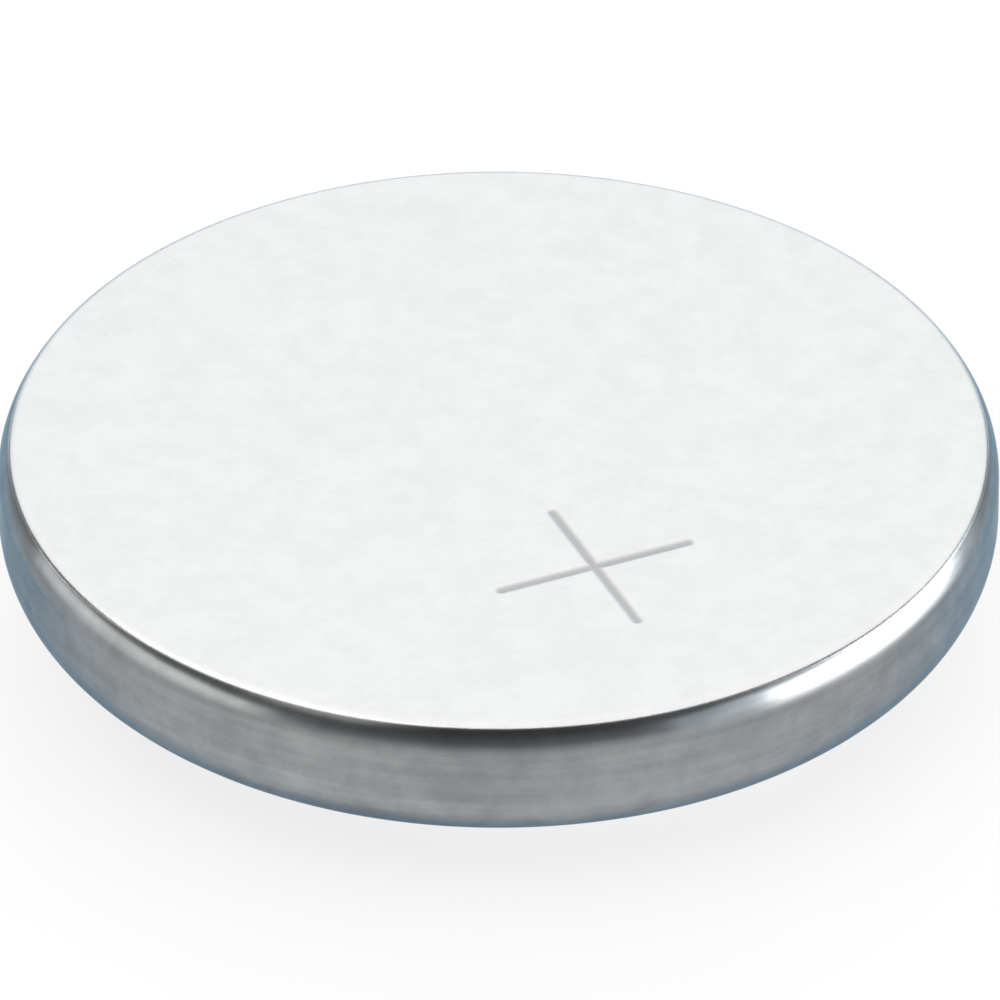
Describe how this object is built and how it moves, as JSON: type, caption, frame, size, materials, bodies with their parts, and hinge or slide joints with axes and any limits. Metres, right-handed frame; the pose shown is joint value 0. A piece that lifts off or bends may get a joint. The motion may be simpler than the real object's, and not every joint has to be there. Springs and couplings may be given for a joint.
{
  "type": "lithium coin cell",
  "caption": "Round steel coin cell: a shallow can whose flat satin floor is the positive face, its lip rolled in over a plastic seal ring and a smaller stepped negative cap.",
  "frame": {"origin": "centre of the negative contact face, which is the lowest face and the one the cell rests on", "axes": "+Z is the cell's axis and points from the negative contact to the positive face; +X and +Y lie in the contact face"},
  "size_m": [0.0125, 0.0124, 0.0025],
  "materials": {
    "can_steel": "satin face with a fine matt grain, polished wall and lip",
    "seal_plastic": "moulded, faintly glossy",
    "cap_steel": "satin contact with faint polishing lines",
    "lithium_metal": "soft dull metal",
    "separator_felt": "fine matt felt",
    "pellet_powder": "pressed matt powder",
    "collector_steel": "plain rolled sheet"
  },
  "bodies": {
    "root": {"positive_can": "can_steel", "gasket": "seal_plastic", "negative_cap": "cap_steel", "lithium_anode": "lithium_metal", "separator": "separator_felt", "cathode_pellet": "pellet_powder", "cathode_collector": "collector_steel"}
  },
  "joints": []
}
